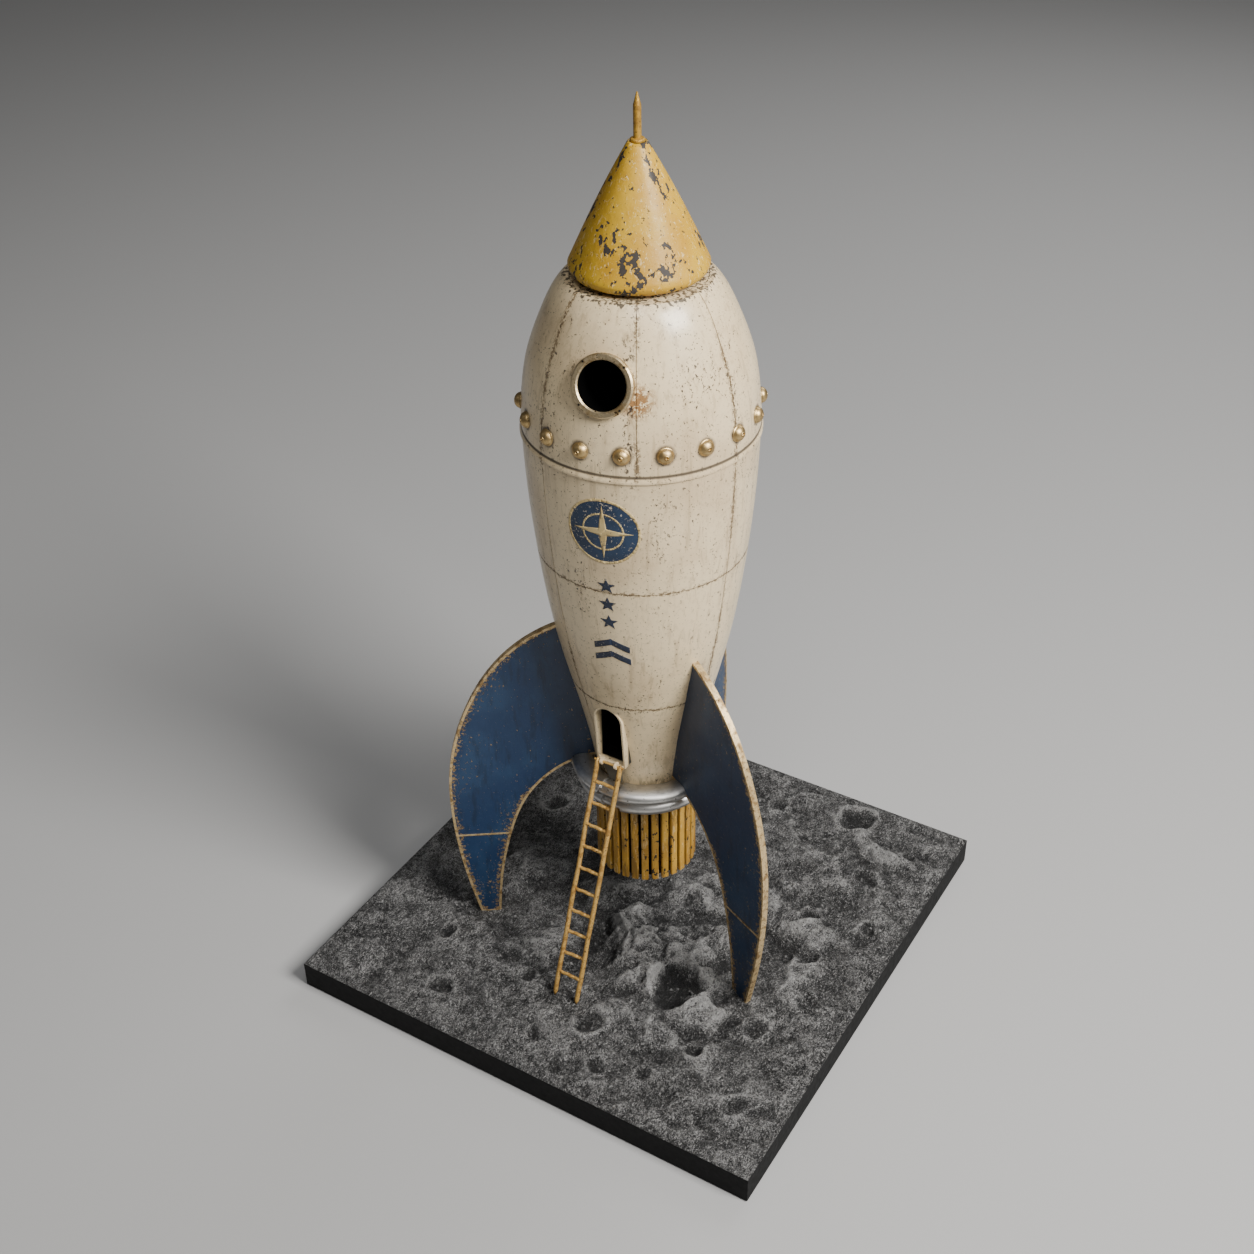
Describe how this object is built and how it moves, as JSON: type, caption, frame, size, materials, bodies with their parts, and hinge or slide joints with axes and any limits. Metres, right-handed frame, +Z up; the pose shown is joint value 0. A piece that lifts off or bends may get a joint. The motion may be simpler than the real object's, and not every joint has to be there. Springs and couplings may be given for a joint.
{
  "type": "rocket display model",
  "caption": "Retro rocket model on three curved fins with riveted dome, porthole, arched doorway and folding ladder, standing on a square lunar diorama slab.",
  "frame": {"origin": "centre of the slab underside, on the surface it rests on", "axes": "+Z up along the rocket axis; -Y towards the doorway and ladder; slab edges along X and Y"},
  "size_m": [0.3, 0.3, 0.522],
  "materials": {
    "felt": "wool felt",
    "slab_black": "satin black lacquer",
    "moon_rock": "rough cast stone, washed dark grey",
    "steel_hidden": "zinc plated",
    "fin_blue": "worn navy enamel",
    "fin_gold": "worn, rubbed back to metal",
    "hull_cream": "aged cream enamel",
    "rivet_brass": "tarnished",
    "dark_screw": "blackened",
    "black_inside": "flat black",
    "apron_olive": "flat olive grey",
    "ring_steel": "satin",
    "slat_ochre": "chipped ochre enamel",
    "nose_ochre": "glossy ochre enamel, chipped",
    "needle_gold": "dull gold",
    "ladder_gold": "hand-painted gold"
  },
  "bodies": {
    "rocket": {"base_felt": "felt", "base_slab": "slab_black", "moon_soil": "moon_rock", "moon_mounds": "moon_rock", "foot_pins": "steel_hidden", "fin_dowels": "steel_hidden", "fin_lock_pins": "steel_hidden", "engine_bolts": "steel_hidden", "engine_nuts": "steel_hidden", "thrust_plate": "steel_hidden", "joint_ring": "steel_hidden", "nozzle_plate": "steel_hidden", "ring_spacer": "steel_hidden", "nozzle_hoop": "steel_hidden", "fin_panel_left": "fin_blue", "fin_panel_right": "fin_blue", "fin_panel_rear": "fin_blue", "fin_foot_left": "fin_blue", "fin_foot_right": "fin_blue", "fin_foot_rear": "fin_blue", "fin_trim_left": "fin_gold", "fin_trim_right": "fin_gold", "fin_trim_rear": "fin_gold", "foot_trim_left": "fin_gold", "foot_trim_right": "fin_gold", "foot_trim_rear": "fin_gold", "fin_seam_strips": "fin_gold", "lower_hull": "hull_cream", "seam_band": "hull_cream", "dome_shell": "hull_cream", "door_portal": "hull_cream", "door_sill": "hull_cream", "dome_neck": "hull_cream", "rivets": "rivet_brass", "porthole_ring": "rivet_brass", "porthole_screws": "dark_screw", "door_pocket": "black_inside", "porthole_cup": "black_inside", "nozzle_liner": "black_inside", "throat_tube": "black_inside", "door_apron": "apron_olive", "upper_ring": "ring_steel", "lower_ring": "ring_steel", "ring_sleeves": "ring_steel", "nozzle_slats": "slat_ochre"},
    "ladder": {"ladder_rails": "ladder_gold", "ladder_rungs": "ladder_gold", "ladder_pin": "ladder_gold"},
    "nose": {"nose_cone": "nose_ochre", "nose_spigot": "black_inside", "needle": "needle_gold", "needle_collar": "needle_gold"}
  },
  "joints": [
    {"name": "ladder_swing", "type": "hinge", "parent": "rocket", "child": "ladder", "pos_m": [0, -0.0394, 0.1574], "axis": [-1, 0, 0], "range_deg": [0, 125]},
    {"name": "nose_lift", "type": "slide", "parent": "rocket", "child": "nose", "axis": [0, 0, 1], "range_m": [0, 0.03]}
  ]
}
